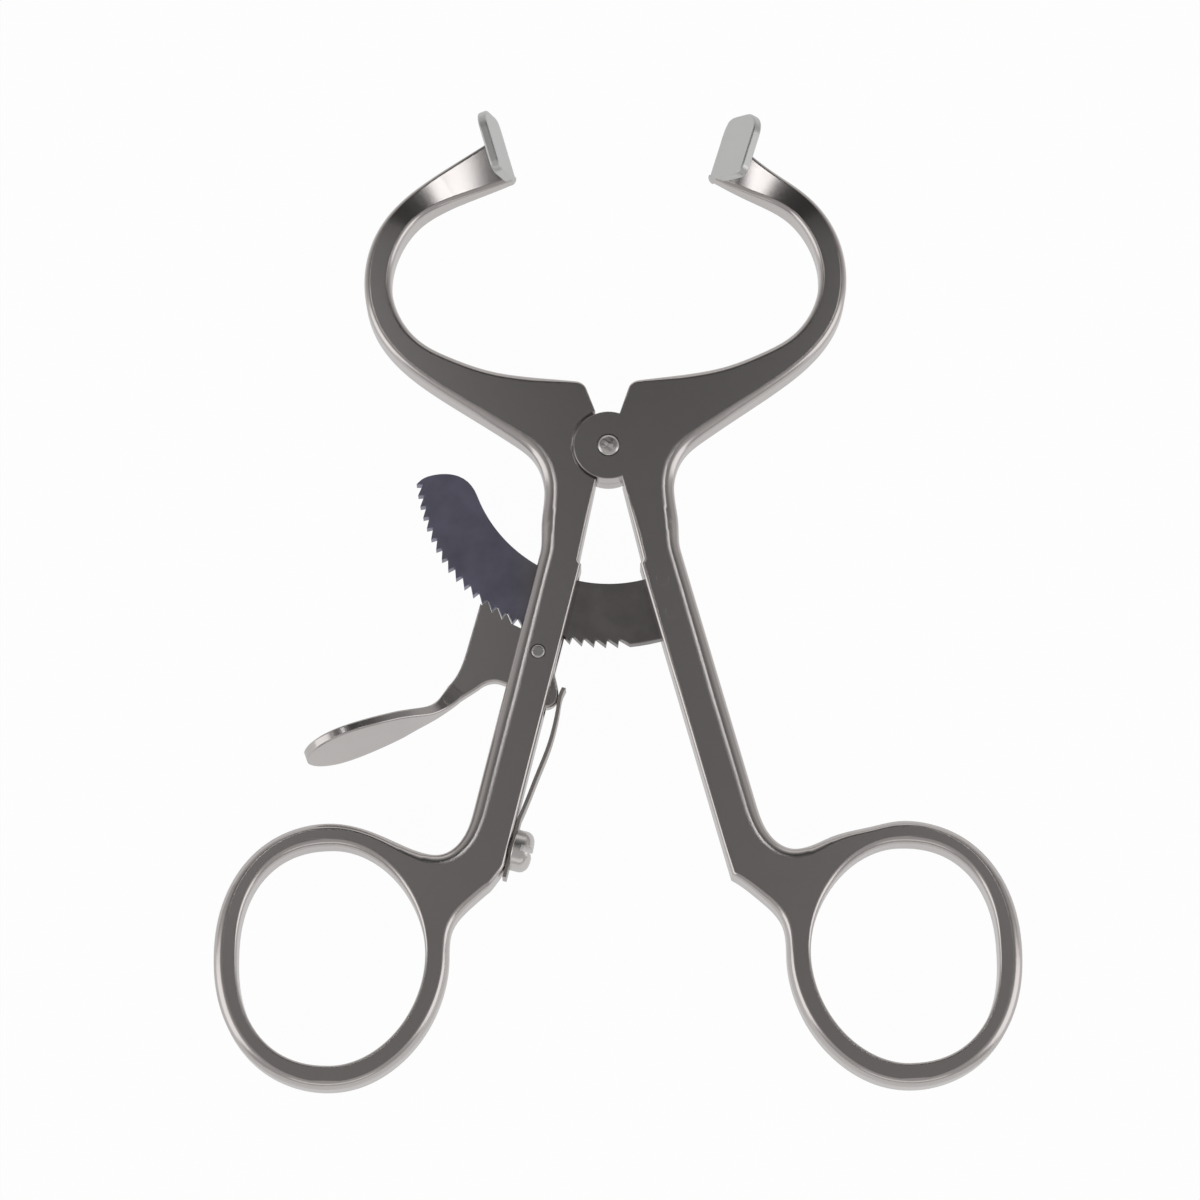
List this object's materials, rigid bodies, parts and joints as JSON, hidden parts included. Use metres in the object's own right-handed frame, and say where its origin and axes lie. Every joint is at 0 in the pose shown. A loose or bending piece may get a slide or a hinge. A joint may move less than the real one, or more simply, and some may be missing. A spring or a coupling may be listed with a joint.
{
  "type": "mouth gag",
  "caption": "Ratcheted mouth gag: two ring-handled arms crossed at a half-lap hinge, curved jaws with upright bite pads, toothed arc and sprung thumb lever",
  "frame": {"origin": "middle of the footprint, on the plane that the lowest point touches", "axes": "X across the instrument to the arm that carries the rack, Y along it to the jaws, Z square to the faces of the arms, towards the free edges of the bite pads"},
  "size_m": [0.1096, 0.1378, 0.016],
  "materials": {
    "satin_steel": "satin stainless steel",
    "bright_steel": "bright turned stainless steel",
    "dark_steel": "hardened steel, faintly blued"
  },
  "bodies": {
    "right_arm": {"right_arm": "satin_steel", "main_pivot_pin": "bright_steel", "toothed_rack": "dark_steel", "rack_rivets": "satin_steel"},
    "left_arm": {"left_arm": "satin_steel", "pawl_pin": "bright_steel", "leaf_spring": "dark_steel", "spring_screw": "bright_steel"},
    "pawl": {"pawl_lever": "satin_steel"}
  },
  "joints": [
    {"name": "jaw_hinge", "type": "hinge", "parent": "right_arm", "child": "left_arm", "pos_m": [-0.00126, 0.02116, 0.00613], "axis": [0, 0, 1], "range_deg": [-37.4, 23.8]},
    {"name": "pawl_pivot", "type": "hinge", "parent": "left_arm", "child": "pawl", "pos_m": [-0.01097, -0.00836, 0.00613], "axis": [0, 0, 1], "range_deg": [0, 15], "stiffness_Nm_per_rad": 0.1, "springref_deg": -5.73, "deforming": ["leaf_spring"]}
  ]
}
